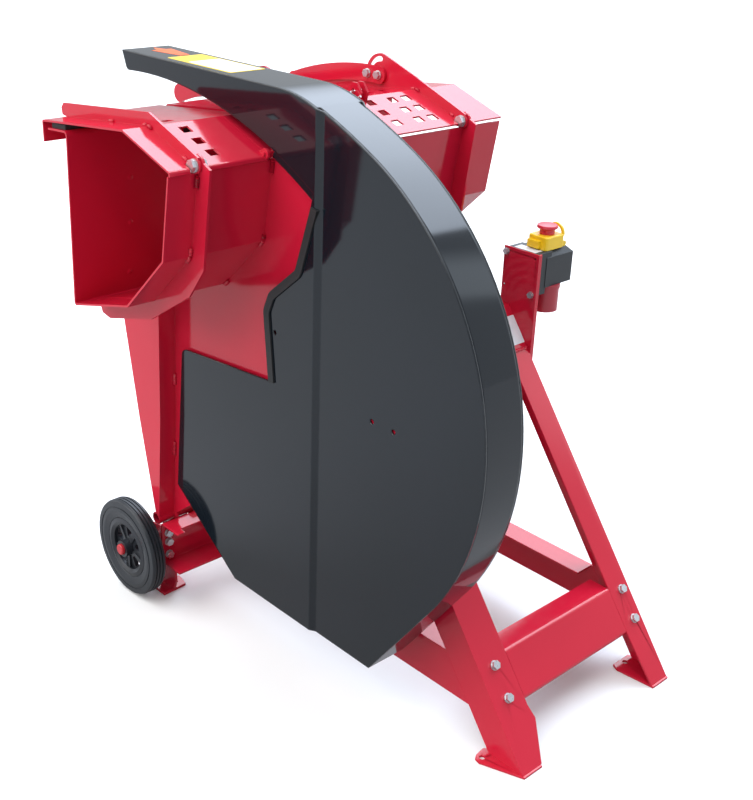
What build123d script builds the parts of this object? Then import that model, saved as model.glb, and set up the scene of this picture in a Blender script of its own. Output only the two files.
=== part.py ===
from build123d import *
from math import atan2, cos, degrees, hypot, pi, radians, sin
import os

# A rocking firewood saw: a log trough on a swinging rocker carries the log into a guarded circular blade.
# X runs along the blade's arbor, +X away from the motor. Y runs from the operator towards the blade's back.
# The drawing is laid out from the arbor: X = 0 is the blade's plane, Y = 0 the arbor, Z = 0 the floor.

# Driving dimensions, in millimetres
BLADE_D = 700
BLADE_THICK = 4.2
TEETH = 42
ARBOR_Z = 542
GUARD_R = 434
SHEET = 3
PLATE = 4
RUN_FIT = 0.05
SIDE_GAP = 0.5

PIVOT = (-318, 160)
PIVOT_TUBE_R = 12
SWING_BACK = 27
NOSE_ARC_R = 804
NOSE_TIP_Y = -396
NOSE_TOP_Z = 992
JOGGLE_Y = (88, 98)
GUARD_HALF = 39
JOGGLE = 6

TROUGH_LEFT_END = 220
TROUGH_RIGHT_END = -463
COVER_INNER = 46
SIDE_PLATE_OUT = 38
COLLAR_LEFT = 172
COLLAR_RIGHT = -369
HINGE = (-16, 895)
HANDLE_PIVOT = (-215, 942)
HANDLE_STOP = (-242, 942)
HANDLE_SWING = 90
HANDLE_BOLT_R = 4
HANDLE_END = (-447, 900)
HANDLE_INNER_X = -104
HANDLE_ARM = 5

LEG_FOOT_Y = 480
LEG_LEAN = 0.7474
FRONT_LEG_X = -61
REAR_LEG_X = -447
SIDE_BEAM_Z = (70, 145)
BASE_BEAM_Y = (-303, -247)
BASE_BEAM_Z = (71, 157)
BASE_BEAM_X = (-478, 72)
TOP_FLANGE_Y = -262
BRACKET_BOLT_X = 59
BRACKET_BOLT_Z = (134, 115, 88)
WHEEL_R = 93.5
WHEEL_Z = 96.5
WHEEL_Y = -356
WHEEL_X = (88, 118)
AXLE_R = 8
AXLE_END = 124

TROUGH_LINE = [(-16, 884), (-37, 757), (-137, 661), (-295, 619), (-285, 897), (-337, 893)]
COVER_LINE = [(-13, 892), (-127, 930), (-354, 906), (-354, 872)]
BLADE_SLOT = 8
NOTCH_LINE = [(90, 845), (52, 732), (-10, 680), (-23, 650), (-11, 534)]


# Helpers

def outline(points):
    return make_face(Polyline(*points, close=True))


def plate(sketch, x0, x1):
    """A flat plate square to X, from x0 to x1, its sketch drawn in (Y, Z)."""
    return extrude(Plane.YZ.offset(x0) * sketch, x1 - x0)


def folded(points, thick, bend, side):
    """The section of a folded sheet whose outer line runs through the points."""
    line = FilletPolyline(*points, radius=bend)
    return make_face(offset(line, amount=thick, side=side, closed=True))


def disc(y, z, r):
    return Pos(y, z) * Circle(r)


def rod(r, x0, x1, y, z):
    """A round bar along X."""
    return plate(disc(y, z, r), x0, x1)


def tube(r_out, r_in, x0, x1, y, z):
    return plate(disc(y, z, r_out) - disc(y, z, r_in), x0, x1)


def hexagon(across_flats, y, z):
    return Pos(y, z) * RegularPolygon(across_flats / 2, 6, major_radius=False)


def around_pivot(radius, angle):
    """A point at this radius and angle, from +Y towards +Z, about the rocker's pivot."""
    return (PIVOT[0] + radius * cos(radians(angle)), PIVOT[1] + radius * sin(radians(angle)))


def pivot_arc(radius, start, end):
    middle = (start + end) / 2
    points = [around_pivot(radius, a) for a in (start, middle, end)]
    return ThreePointArc(*points)


def pivot_sector(r_in, r_out, start, end):
    """A ring sector about the rocker's pivot."""
    edges = [
        pivot_arc(r_out, start, end),
        Line(around_pivot(r_out, end), around_pivot(r_in, end)),
        pivot_arc(r_in, end, start),
        Line(around_pivot(r_in, start), around_pivot(r_out, start)),
    ]
    return make_face(edges)


def bolt_head(x, y, z, size, toward):
    """A hexagon head with its washer on the face at x."""
    washer = rod(size, x, x + toward * 2, y, z)
    return washer + plate(hexagon(1.6 * size, y, z), x + toward * 2, x + toward * (2 + 0.65 * size))


def bolt_x(x, y, z, size, grip, toward):
    """A bolt along X: head on the face at x, shank through the grip behind it."""
    return bolt_head(x, y, z, size, toward) + rod(size / 2, x - toward * grip, x, y, z)


def mirror_x(shape, middle):
    return mirror(shape, about=Plane.YZ.offset(middle))


# Frame

def base_beam():
    """A folded channel, open towards the legs, its top flange full width only at the ends."""
    y0, y1 = BASE_BEAM_Y
    z0, z1 = BASE_BEAM_Z
    section = folded([(y1, z1), (y0, z1), (y0, z0), (y1, z0)], PLATE, 6, Side.LEFT)
    channel = plate(section, *BASE_BEAM_X)
    ear = 16
    channel -= block((BASE_BEAM_X[0] + ear, BASE_BEAM_X[1] - ear), (TOP_FLANGE_Y, y1 + 1), (z1 - 10, z1 + 1))
    return channel - bracket_bolt_holes()


BEAM_MIDDLE = sum(BASE_BEAM_X) / 2


def on_web(x, z):
    """The place on the inner face of the beam's web at this X and height."""
    return Location(Plane((x, BASE_BEAM_Y[0] + PLATE, z), x_dir=(1, 0, 0), z_dir=(0, 1, 0)))


def bracket_bolt_holes():
    columns = (BRACKET_BOLT_X, 2 * BEAM_MIDDLE - BRACKET_BOLT_X)
    return [on_web(x, z) * Cylinder(4.2, 30) for x in columns for z in BRACKET_BOLT_Z]


def axle_bracket():
    """Bolted behind the beam's web: an angle that holds the axle and stands on its foot plate."""
    back = BASE_BEAM_Y[0]
    low = BASE_BEAM_Z[0]
    x0 = 46
    side = outline([(-299, 5), (-293, 25), (-293, low), (back, low), (back, 128), (-340, 128), (-376, 120),
                    (-384, 108), (-384, 86), (-374, 75), (-338, 5)])
    side -= disc(WHEEL_Y, WHEEL_Z, AXLE_R + 0.02)
    flange = Pos(x0 + 12.5, back - PLATE / 2, 111.5) * Box(25, PLATE, 71)
    foot = extrude(outline([(73, -299), (73, -338), (15, -334), (22, -302)]), 5)
    anchor = Pos(34, -320, 2.5) * Cylinder(5, 10)
    return plate(side, x0, x0 + 5) + flange + foot - anchor - bracket_bolt_holes()


def axle_brackets():
    left = axle_bracket()
    return [left, mirror_x(left, BEAM_MIDDLE)]


def axle():
    """The axle's bar, with a spacer between each bracket and its wheel."""
    bar = rod(AXLE_R, 2 * BEAM_MIDDLE - AXLE_END, AXLE_END, WHEEL_Y, WHEEL_Z)
    spacer = rod(AXLE_R + 3, 51, WHEEL_X[0] - SIDE_GAP, WHEEL_Y, WHEEL_Z)
    return bar + spacer + mirror_x(spacer, BEAM_MIDDLE)


def beam_section():
    y0, y1 = BASE_BEAM_Y
    z0, z1 = BASE_BEAM_Z
    return outline([(y0, z0), (y1, z0), (y1, z1), (y0, z1)])


def pivot_brackets():
    """Two lugs behind the beam's web, in which the rocker's tube turns."""
    lug = disc(*PIVOT, PIVOT_TUBE_R + 9) + outline([(-303, 157), (-303, 95), (-312, 95), (-336, 158)])
    lug -= beam_section()
    lug -= disc(*PIVOT, PIVOT_TUBE_R + RUN_FIT)
    return [plate(lug, -14, -6), plate(lug, -300, -292)]


def leg_y(z):
    """Where the sloped outer face of the legs stands at height z."""
    return LEG_FOOT_Y - LEG_LEAN * z


def leg(web_x, inward, width, top, trim):
    """An angle-section leg: a web square to X and a flange along the sloped face, trimmed to its outline."""
    depth = 72
    web = outline([(leg_y(0), 0), (leg_y(top), top), (leg_y(top) - depth, top), (leg_y(0) - depth, 0)])
    lap = PLATE * hypot(1, LEG_LEAN)
    strip = outline([(leg_y(0), 0), (leg_y(top), top), (leg_y(top) - lap, top), (leg_y(0) - lap, 0)])
    solid = plate(web, *sorted((web_x, web_x + inward * PLATE)))
    solid += plate(strip, *sorted((web_x, web_x + inward * width)))
    return solid - extrude(Plane.XZ.offset(-leg_y(0) - 1) * outline(trim), 450)


def front_leg():
    top = 440
    trim = [(-140, -1), (-104, -1), (-131, 57), (-126, 76), (-126, top + 1), (-140, top + 1)]
    body = leg(FRONT_LEG_X, -1, 70, top, trim)
    return body - leg_bolt_holes(FRONT_LEG_X - 32)


def rear_leg():
    trim = [(-397, -1), (-403, -1), (-398, 80), (-397, 80)]
    body = leg(REAR_LEG_X, 1, 49, 572, trim)
    return body - leg_bolt_holes(REAR_LEG_X + 20)


BOLT_HEIGHTS = (141, 97)


def on_slope(x, z):
    """The place on the legs' sloped face at this X and height."""
    return Location(Plane((x, leg_y(z), z), x_dir=(1, 0, 0), z_dir=(0, 1, LEG_LEAN)))


def leg_bolt_holes(x):
    return [on_slope(x, z) * Cylinder(4.2, 30) for z in BOLT_HEIGHTS]


CROSS_Z = (150, 78)
CROSS_X = (-397.7, -126.2)


def leg_cross_beam():
    """A folded channel between the legs, flush with their sloped face, with a tongue behind each flange."""
    inward = Vector(0, -1, -LEG_LEAN).normalized()
    high = (leg_y(CROSS_Z[0]), CROSS_Z[0])
    low = (leg_y(CROSS_Z[1]), CROSS_Z[1])
    line = [(high[0] - 40, high[1]), high, low, (low[0] - 42, low[1])]
    channel = plate(folded(line, PLATE, 7, Side.RIGHT), *CROSS_X)
    near, far = [(inward.Y * d, inward.Z * d) for d in (PLATE, 2 * PLATE)]
    inset = 10
    a = (high[0] + inset * LEG_LEAN, high[1] - inset)
    b = (low[0] - inset * LEG_LEAN, low[1] + inset)
    tongue = outline([
        (a[0] + near[0], a[1] + near[1]),
        (b[0] + near[0], b[1] + near[1]),
        (b[0] + far[0], b[1] + far[1]),
        (a[0] + far[0], a[1] + far[1]),
    ])
    channel += plate(tongue, -440, CROSS_X[0] + 12)
    channel += plate(tongue, CROSS_X[1] - 12, -68)
    for x in (FRONT_LEG_X - 32, REAR_LEG_X + 20):
        channel -= leg_bolt_holes(x)
    return channel


def nut_bolt(place):
    """A bolt with washer and nut, its head on the given place, through two plates."""
    hexagonal = RegularPolygon(6.5, 6, major_radius=False)
    washer = place * Pos(0, 0, 1) * Cylinder(8, 2)
    head = place * Pos(0, 0, 2) * extrude(hexagonal, 5.5)
    shank = place * Pos(0, 0, -8) * Cylinder(4, 16)
    nut = place * Pos(0, 0, -14.5) * extrude(hexagonal, 6)
    return washer + head + shank + nut


def frame_bolts():
    bolts = [nut_bolt(on_slope(x, z)) for x in (FRONT_LEG_X - 32, REAR_LEG_X + 20) for z in BOLT_HEIGHTS]
    for z in BRACKET_BOLT_Z:
        left = nut_bolt(on_web(BRACKET_BOLT_X, z))
        bolts += [left, mirror_x(left, BEAM_MIDDLE)]
    return bolts


FOOT_HOLES = ((-46, 405), (-424, 405))


def leg_feet():
    """Flat foot plates under the legs, each with an anchor hole."""
    front = [(-61, 480), (-34, 409), (-36, 399), (-44, 394), (-63, 391), (-104, 420), (-104, 480)]
    rear = [(-403, 480), (-396, 408), (-402, 395), (-446, 395), (-449, 400), (-447, 480)]
    plates = []
    for points, (x, y) in zip((front, rear), FOOT_HOLES):
        plates.append(extrude(outline(points), 4) - Pos(x, y, 2) * Cylinder(4.5, 10))
    return plates


def clear_of_feet(shape):
    """The legs' angle stands on the foot plates."""
    return shape - Pos(-250, 440, 2) * Box(500, 200, 4)


def side_beam(web_x, inward):
    """An angle from the base beam to the leg: its web in line with the leg's, its flange on top."""
    z0, z1 = SIDE_BEAM_Z
    back = BASE_BEAM_Y[1]
    web = outline([(back, z0), (leg_y(z0) - 72, z0), (leg_y(z1) - 72, z1), (back, z1)])
    top = outline([(back, z1 - PLATE), (leg_y(z1) - 76, z1 - PLATE), (leg_y(z1) - 76, z1), (back, z1)])
    solid = plate(web, *sorted((web_x, web_x + inward * PLATE)))
    return solid + plate(top, *sorted((web_x, web_x + inward * 43)))


def motor_plate():
    """The plate that carries the motor and the guard."""
    tail = [(-130, 75), (10, 75), (190, 300), (125, 470), (-110, 470)]
    face = disc(0, ARBOR_Z, 145) + outline(tail)
    face -= disc(0, ARBOR_Z, 40)
    for y, z in STUDS:
        face -= disc(y, z, 4.2)
    return plate(face, FRONT_LEG_X, FRONT_LEG_X + 8)


STUDS = [(112, 604), (112, 480), (-95, 450), (20, 250)]
MOTOR_X = (-332, -61)
MOTOR_R = 90


def motor_housing():
    """A finned barrel with a mounting flange in front."""
    x0, x1 = MOTOR_X
    barrel = Circle(MOTOR_R)
    for i in range(32):
        fin = Rot(0, 0, i * 360 / 32) * (Pos(MOTOR_R + 2, 0) * Rectangle(12, 3))
        barrel += fin
    body = plate(Pos(0, ARBOR_Z) * barrel, x0 + 45, x1 - 34)
    body += rod(MOTOR_R + 2, x0 + 38, x0 + 45, 0, ARBOR_Z)
    body += rod(MOTOR_R + 2, x1 - 34, x1 - 14, 0, ARBOR_Z)
    body += rod(112, x1 - 14, x1, 0, ARBOR_Z)
    body -= rod(80, x0 + 58, x1 - 40, 0, ARBOR_Z)
    body -= rod(31.02, x0 + 44, x1 - 10, 0, ARBOR_Z)
    return body - rod(20, x0, x1 + 1, 0, ARBOR_Z)


def motor_stator():
    return tube(79.98, 58, MOTOR_X[0] + 80, MOTOR_X[1] - 66, 0, ARBOR_Z)


def motor_bearings():
    places = [(MOTOR_X[0] + 44, MOTOR_X[0] + 58), (MOTOR_X[1] - 40, MOTOR_X[1] - 26)]
    return [tube(31, 14 + RUN_FIT, a, b, 0, ARBOR_Z) for a, b in places]


def motor_rotor():
    return tube(57.4, 14.02, MOTOR_X[0] + 84, MOTOR_X[1] - 70, 0, ARBOR_Z)


def motor_fan():
    hub = tube(22, 14.02, MOTOR_X[0] + 14, MOTOR_X[0] + 34, 0, ARBOR_Z)
    disc_plate = tube(74, 14.02, MOTOR_X[0] + 30, MOTOR_X[0] + 34, 0, ARBOR_Z)
    solid = hub + disc_plate
    for i in range(8):
        angle = i * 45
        vane = Pos(0, ARBOR_Z) * Rot(0, 0, angle) * Pos(46, 0) * Rectangle(54, 3)
        solid += plate(vane, MOTOR_X[0] + 14, MOTOR_X[0] + 32)
    return solid


def motor_fan_cowl():
    """A pressed cap over the fan, with ring slots in its end."""
    x0 = MOTOR_X[0]
    shell = tube(MOTOR_R + 5, MOTOR_R + 2.02, x0, x0 + 45, 0, ARBOR_Z)
    end = disc(0, ARBOR_Z, MOTOR_R + 5)
    for r in (34, 50, 66, 82):
        ring = disc(0, ARBOR_Z, r + 4) - disc(0, ARBOR_Z, r - 4)
        bars = Pos(0, ARBOR_Z) * (Rectangle(200, 9) + Rectangle(9, 200))
        end -= ring - bars
    return shell + plate(end, x0, x0 + 3)


def motor_terminal_box():
    body = Pos(-190, 114, ARBOR_Z) * Box(96, 36, 84)
    body = fillet(body.edges().filter_by(Axis.Y), 8)
    lid = Pos(-190, 134.5, ARBOR_Z) * Box(100, 5, 88)
    lid = fillet(lid.edges().filter_by(Axis.Y), 9)
    return body + lid - rod(MOTOR_R + 8.3, -260, -120, 0, ARBOR_Z)


# Guard

def guard_face():
    """The side of the guard: flat nose, arc, straight chin and foot, and the notch for the trough."""
    on_arc = [(GUARD_R * sin(radians(a)), ARBOR_Z + GUARD_R * cos(radians(a))) for a in (27.44, 77, 126)]
    tip_top = (NOSE_TIP_Y, NOSE_TOP_Z)
    brow = [(0, NOSE_TOP_Z), (40.5, NOSE_TOP_Z - 3.4), (80, NOSE_TOP_Z - 13.5)]
    shoulder = [brow[2], (140.9, NOSE_TOP_Z - 37.1), on_arc[0]]
    drop = (on_arc[2][1] - 116) / sin(radians(126 - 90) + pi / 2)
    chin = (on_arc[2][0] - drop * sin(radians(36)), 116)
    tip_low = (NOSE_TIP_Y + 12, PIVOT[1] + (NOSE_ARC_R**2 - (NOSE_TIP_Y + 12 - PIVOT[0])**2)**0.5)
    inner = (84, PIVOT[1] + (NOSE_ARC_R**2 - (84 - PIVOT[0])**2)**0.5)
    under = (-150, PIVOT[1] + (NOSE_ARC_R**2 - (-150 - PIVOT[0])**2)**0.5)
    notch = FilletPolyline(inner, *NOTCH_LINE[1:], radius=22)
    edges = [
        Line(tip_low, tip_top),
        Line(tip_top, brow[0]),
        ThreePointArc(*brow),
        ThreePointArc(*shoulder),
        ThreePointArc(*on_arc),
        Line(on_arc[2], chin),
        Line(chin, (-114, 118)),
        Line((-114, 118), (-282, 238)),
        FilletPolyline((-282, 238), (-254, 513), NOTCH_LINE[-1], radius=14),
        notch,
        ThreePointArc(inner, under, tip_low),
    ]
    face = make_face(edges)
    tip = face.vertices().sort_by_distance((tip_low[0], tip_low[1], 0))[:1]
    return fillet(tip, 9)


def guard_sheet(side):
    """One side sheet, set out by a joggle where the rocker's plates pass behind it."""
    out = GUARD_HALF + JOGGLE
    y0, y1 = JOGGLE_Y
    line = [(out, -420), (out, y0), (GUARD_HALF, y1), (GUARD_HALF, 460)]
    strip = offset(Polyline(*line), amount=SHEET, side=Side.LEFT, closed=True, kind=Kind.INTERSECTION)
    section = make_face(strip)
    pressed = extrude(section, 1100)
    if side < 0:
        pressed = mirror(pressed, about=Plane.YZ)
    return pressed & plate(guard_face(), -60, 60)


def guard_front_sheet():
    sheet = guard_sheet(1)
    for y, z, r in ((214, 546, 4), (259, 546, 4), (-2, 620, 3.5)):
        sheet -= rod(r, 30, 50, y, z)
    return sheet


def guard_rear_sheet():
    sheet = guard_sheet(-1)
    return sheet - rod(48, -60, -30, 0, ARBOR_Z)


def guard_rim():
    """The band that closes the guard along its nose, arc and chin."""
    band = guard_face() - offset(guard_face(), amount=-SHEET)
    keep = outline([(-420, 940), (-386, 940), (-386, 978), (0, 960), (120, 930), (300, 700), (300, 330),
                    (215, 112), (240, 112), (470, 300), (470, 1010), (-420, 1010)])
    strip = band & keep
    nose = Pos(JOGGLE_Y[0] - 252, 955) * Rectangle(500, 110)
    inside = GUARD_HALF - SHEET
    return plate(strip & nose, -inside - JOGGLE, inside + JOGGLE) + plate(strip - nose, -inside, inside)


def guard_edging():
    """Rubber channel pushed over the notch's edge."""
    line = FilletPolyline((86, 836), *NOTCH_LINE[1:], radius=22)
    over = offset(line, amount=4, side=Side.RIGHT, closed=True)
    onto = offset(line, amount=9, side=Side.LEFT, closed=True)
    profile = make_face(over) + make_face(onto)
    channel = plate(profile, 39, 48)
    return channel - guard_sheet(1)


def guard_studs():
    """Spacers between the guard's rear sheet and the motor plate, with their screws behind."""
    studs = []
    front = FRONT_LEG_X + 8
    for y, z in STUDS:
        reach = -GUARD_HALF if y > JOGGLE_Y[1] else -GUARD_HALF - JOGGLE
        spacer = rod(9, front, reach, y, z)
        screw = rod(4, FRONT_LEG_X - 1, front, y, z)
        head = rod(7, FRONT_LEG_X - 6, FRONT_LEG_X, y, z)
        studs.append(spacer + screw + head)
    return studs


# Spindle

def saw_blade():
    """A toothed disc with a hook-toothed rim and four expansion slots."""
    r = BLADE_D / 2
    pitch = 360 / TEETH
    points = []
    for i in range(TEETH):
        start = i * pitch
        for radius, share in ((r, 0), (r - 3, 0.3), (r - 15, 0.75), (r - 16, 0.93), (r - 9, 0.985)):
            a = radians(start + share * pitch)
            points.append((radius * cos(a), radius * sin(a)))
    face = outline(points) - Circle(15)
    for i in range(4):
        turn = Rot(0, 0, i * 90 + pitch * 0.84)
        slot = Pos(r - 42, 0) * Rectangle(56, 2.5) + Pos(r - 70, 0) * Circle(6)
        face -= turn * slot
    return plate(Pos(0, ARBOR_Z) * face, -BLADE_THICK / 2, BLADE_THICK / 2)


def blade_flanges():
    half = BLADE_THICK / 2
    flange = disc(0, ARBOR_Z, 62) - disc(0, ARBOR_Z, 15)
    relief = disc(0, ARBOR_Z, 46) - disc(0, ARBOR_Z, 22)
    outer = plate(flange, half, half + 9) - plate(relief, half, half + 2)
    return [outer, mirror_x(outer, 0)]


def arbor_shaft():
    half = BLADE_THICK / 2 + 9
    shaft = rod(14, MOTOR_X[0] + 12, -half - 20, 0, ARBOR_Z)
    shaft += rod(22, -half - 26, -half, 0, ARBOR_Z)
    return shaft + rod(15, -half, half, 0, ARBOR_Z) + rod(10, half, half + 17, 0, ARBOR_Z)


def arbor_nut():
    half = BLADE_THICK / 2 + 9
    face = hexagon(30, 0, ARBOR_Z) - disc(0, ARBOR_Z, 10)
    washer = disc(0, ARBOR_Z, 20) - disc(0, ARBOR_Z, 10)
    return plate(washer, half, half + 3) + plate(face, half + 3, half + 16)


# Rocker

def pivot_tube():
    return tube(PIVOT_TUBE_R, PIVOT_TUBE_R - 3.5, -342, 71, *PIVOT)


POST_FRONT = [(-308.6, 158.5), (-303, 226), (-291, 371), (-283, 557), (-281, 622.4)]
POST_BACK = [(-295.1, 618.6), (-289.4, 780), (-330, 735), (-402, 590), (-391, 529), (-357, 347), (-328, 215),
             (-316, 158.5)]


def post(x_web, toward):
    """A tapered web with a flange along its front edge, welded to the rocker's tube."""
    web = plate(outline(POST_FRONT + POST_BACK), *sorted((x_web, x_web - toward * SHEET)))
    behind = [(y - 3.5, z - 0.9) for y, z in reversed(POST_FRONT)]
    flange = plate(outline(POST_FRONT + behind), *sorted((x_web, x_web - toward * 33)))
    return web + flange - rod(PIVOT_TUBE_R + 0.01, x_web - 40, x_web + 40, *PIVOT)


def left_post():
    return post(71, 1)


def right_post():
    return post(-340, -1)


def log_opening():
    """The inside of the trough, where the log lies."""
    inner = [(-19, 960), (-19, 886), (-40, 758.5), (-138.5, 664.3), (-292, 623), (-282, 897), (-282, 960)]
    return outline(inner)


def side_face(cut_arbor):
    """The rocker's plate beside the blade: pivot lug, arm and the web around the trough."""
    r_top = NOSE_ARC_R - 11
    start = degrees(atan2(HINGE[1] - PIVOT[1], HINGE[0] - PIVOT[0]))
    right_y = 84
    end = degrees(atan2((r_top**2 - (right_y - PIVOT[0])**2)**0.5, right_y - PIVOT[0]))
    corner = around_pivot(r_top, end)
    edges = [
        Line((-302, 166), (right_y, 470)),
        Line((right_y, 470), corner),
        pivot_arc(r_top, end, start),
        Line(around_pivot(r_top, start), (-60, 893)),
        Line((-60, 893), (-60, 800)),
        Line((-60, 800), (-310, 640)),
        Line((-310, 640), (-312, 202)),
        Line((-312, 202), (-330, 172)),
        Line((-330, 172), (-302, 166)),
    ]
    face = make_face(edges) + disc(*PIVOT, PIVOT_TUBE_R + 8) + disc(*HINGE, 11)
    face -= log_opening()
    face -= disc(*PIVOT, PIVOT_TUBE_R + 0.01)
    for turn in range(0, SWING_BACK + 1, 9):
        swung = Pos(*PIVOT) * Rot(0, 0, -turn) * Pos(-PIVOT[0], -PIVOT[1]) * beam_section()
        face -= offset(swung, amount=1)
    face -= disc(*HINGE, 3.02)
    if cut_arbor:
        radius = hypot(PIVOT[0], ARBOR_Z - PIVOT[1])
        face -= pivot_sector(radius - 36, radius + 36, -20, 58)
    return face


def slot_roof():
    """A roof in line with the covers and a wall in line with the trough's back, up to the blade's slot."""
    edge = COVER_INNER - SIDE_GAP
    packer = outline([(-292, 899.7), (-332, 896.6), (-332, 906), (-292, 910)])
    wall = outline([(-282, 911), (-286.6, 770), (-289.6, 770), (-285, 911)])
    roof = plate(folded(COVER_LINE, SHEET, 5, Side.LEFT), BLADE_SLOT, edge)
    roof += plate(packer, SIDE_PLATE_OUT, edge) + plate(wall, BLADE_SLOT, SIDE_PLATE_OUT)
    return roof - rod(3.02, BLADE_SLOT, COVER_INNER, *HINGE)


def left_side_plate():
    return plate(side_face(False), SIDE_PLATE_OUT - SHEET, SIDE_PLATE_OUT) + slot_roof()


def right_side_plate():
    return plate(side_face(True), -SIDE_PLATE_OUT, SHEET - SIDE_PLATE_OUT) + mirror_x(slot_roof(), 0)


def left_blade_shield():
    """Covers the blade in the notch when the rocker is swung back."""
    inner = SIDE_PLATE_OUT - SHEET
    return plate(pivot_sector(460, 786, 31, 61.5), inner - SHEET, inner)


def right_blade_shield():
    inner = SIDE_PLATE_OUT - SHEET
    return plate(pivot_sector(538, 786, 31, 61.5), -inner, SHEET - inner)


def trough_collar():
    """A flange plate around the trough's outside that ends in the cover's hinge ear."""
    ear = disc(*HINGE, 15)
    band = [(-2, 900), (13, 893), (-8, 742), (-45, 693), (-149, 627), (-270, 593), (-292, 597), (-299, 612),
            (-280, 640), (-150, 680), (-60, 770), (-40, 884)]
    stop = [(-275, 894), (-336, 890), (-332, 872), (-320, 866), (-275, 866)]
    inside = log_opening()
    return ear + outline(band) + outline(stop) - inside - disc(*HINGE, 5.02)


def trough(x_in, x_end, collar_x):
    """A folded sheet trough with its collar welded on."""
    body = plate(folded(TROUGH_LINE, SHEET, 5, Side.RIGHT), *sorted((x_in, x_end)))
    body -= rod(13, collar_x - 0.5, collar_x + 4.6, *HINGE)
    collar = plate(trough_collar(), collar_x - SIDE_GAP - PLATE, collar_x - SIDE_GAP)
    return body + collar


def left_trough():
    return trough(SIDE_PLATE_OUT, TROUGH_LEFT_END, COLLAR_LEFT)


def right_trough():
    return trough(-SIDE_PLATE_OUT, TROUGH_RIGHT_END, COLLAR_RIGHT)


def cover_seals():
    """Rubber strips on the back wall's flange, under the covers."""
    section = outline([(-292, 899.6), (-332, 896.5), (-332, 904), (-292, 907.5)])
    spans = ((COVER_INNER, TROUGH_LEFT_END - 4), (TROUGH_RIGHT_END + 4, -COVER_INNER))
    return [plate(section, x0, x1) for x0, x1 in spans]


def hinge_bolts():
    bolts = []
    for collar_x in (COLLAR_LEFT, COLLAR_RIGHT):
        face = collar_x + PLATE + 0.3
        bolt = rod(10, face, face + 2, *HINGE) + plate(hexagon(16, *HINGE), face + 2, face + 8)
        bolt += rod(5, collar_x - 13, face, *HINGE)
        bolt += plate(hexagon(16, *HINGE), collar_x - SIDE_GAP - PLATE - 8, collar_x - SIDE_GAP - PLATE)
        bolts.append(bolt)
    bolts += [rod(3, 30, 56, *HINGE), rod(3, -56, -30, *HINGE)]
    return bolts


# Covers

WINDOW = 17


def cover_windows(columns, rows_top):
    """Square windows punched square to the cover's chamfer and to its top."""
    a, b, c = COVER_LINE[0], COVER_LINE[1], COVER_LINE[2]
    cuts = []
    for start, end, places in ((a, b, (0.26, 0.54, 0.82)), (b, c, rows_top)):
        run = Vector(0, end[0] - start[0], end[1] - start[1])
        for share in places:
            spot = Vector(0, start[0], start[1]) + run * share
            for x in columns:
                face = Plane((x, spot.Y, spot.Z), x_dir=(1, 0, 0), z_dir=run.cross(Vector(1, 0, 0)))
                cuts.append(Location(face) * Box(WINDOW, WINDOW, 20))
    return cuts


def cover_collar(lifted):
    """The flange plate on the cover, from the hinge bolt to the lip; one rises into the handle's ear."""
    band = [(-16, 886), (-6, 893), (-8, 907), (-126, 950), (-364, 925), (-371, 917), (-369, 906.5),
            (-354, 904.5), (-127, 928.4), (-22, 893.4)]
    face = outline(band) + disc(*HINGE, 12)
    if lifted:
        face += handle_ear()
        face -= handle_holes()
    return face - disc(*HINGE, 5 + RUN_FIT)


def handle_ear():
    """The round-topped plate that the handle's arm turns against."""
    foot = [(-204, 976.8), (-125, 950), (-125, 930), (-200, 921), (-262, 915), (-251, 942)]
    face = outline(foot) + disc(*HANDLE_PIVOT, 36.5)
    return face - outline([(-280, 880), (-180, 880), (-180, 923), (-280, 912.4)])


def handle_holes():
    """The handle's pivot hole and the arc that its second bolt runs in."""
    radius = HANDLE_PIVOT[0] - HANDLE_STOP[0]
    half = HANDLE_BOLT_R + 0.3
    ring = disc(*HANDLE_PIVOT, radius + half) - disc(*HANDLE_PIVOT, radius - half)
    turns = (180, 180 - HANDLE_SWING / 2, 180 - HANDLE_SWING)
    rays = [(cos(radians(a)), sin(radians(a))) for a in turns]
    wedge = [HANDLE_PIVOT] + [(HANDLE_PIVOT[0] + 80 * c, HANDLE_PIVOT[1] + 80 * s) for c, s in rays]
    ends = [disc(HANDLE_PIVOT[0] + radius * c, HANDLE_PIVOT[1] + radius * s, half) for c, s in rays]
    return (ring & outline(wedge)) + ends[0] + ends[2] + disc(*HANDLE_PIVOT, HANDLE_BOLT_R + RUN_FIT)


def cover(x_in, x_end, collar_x, lifted, columns, rows_top, tab_x):
    """A folded sheet cover with its collar and inner hinge tab; the plain one has a lip over the seam."""
    line = COVER_LINE if lifted else [(-12, 885.6)] + COVER_LINE
    body = plate(folded(line, SHEET, 5, Side.LEFT), *sorted((x_in, x_end)))
    body -= cover_windows(columns, rows_top)
    body -= rod(16.5, collar_x - SIDE_GAP - PLATE - 9.5, collar_x, *HINGE)
    body -= rod(11, collar_x, collar_x + PLATE + 9.5, *HINGE)
    body -= rod(11, *sorted((x_in, tab_x)), *HINGE)
    collar = plate(cover_collar(lifted), collar_x, collar_x + PLATE)
    tab = outline([(-13, 888), (-9, 895), (-13, 903), (-24, 899), (-30, 897), (-28, 894)]) + disc(*HINGE, 8)
    tab -= disc(*HINGE, 3 + RUN_FIT)
    solid = body + collar + plate(tab, *sorted((tab_x, tab_x + (4 if tab_x > 0 else -4))))
    return solid - rod(3 + RUN_FIT, *sorted((x_in, x_in + (11 if x_in > 0 else -11))), *HINGE)


def left_cover():
    return cover(COVER_INNER, TROUGH_LEFT_END, COLLAR_LEFT, False, (126,), (0.12, 0.3), COVER_INNER + 3)


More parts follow.
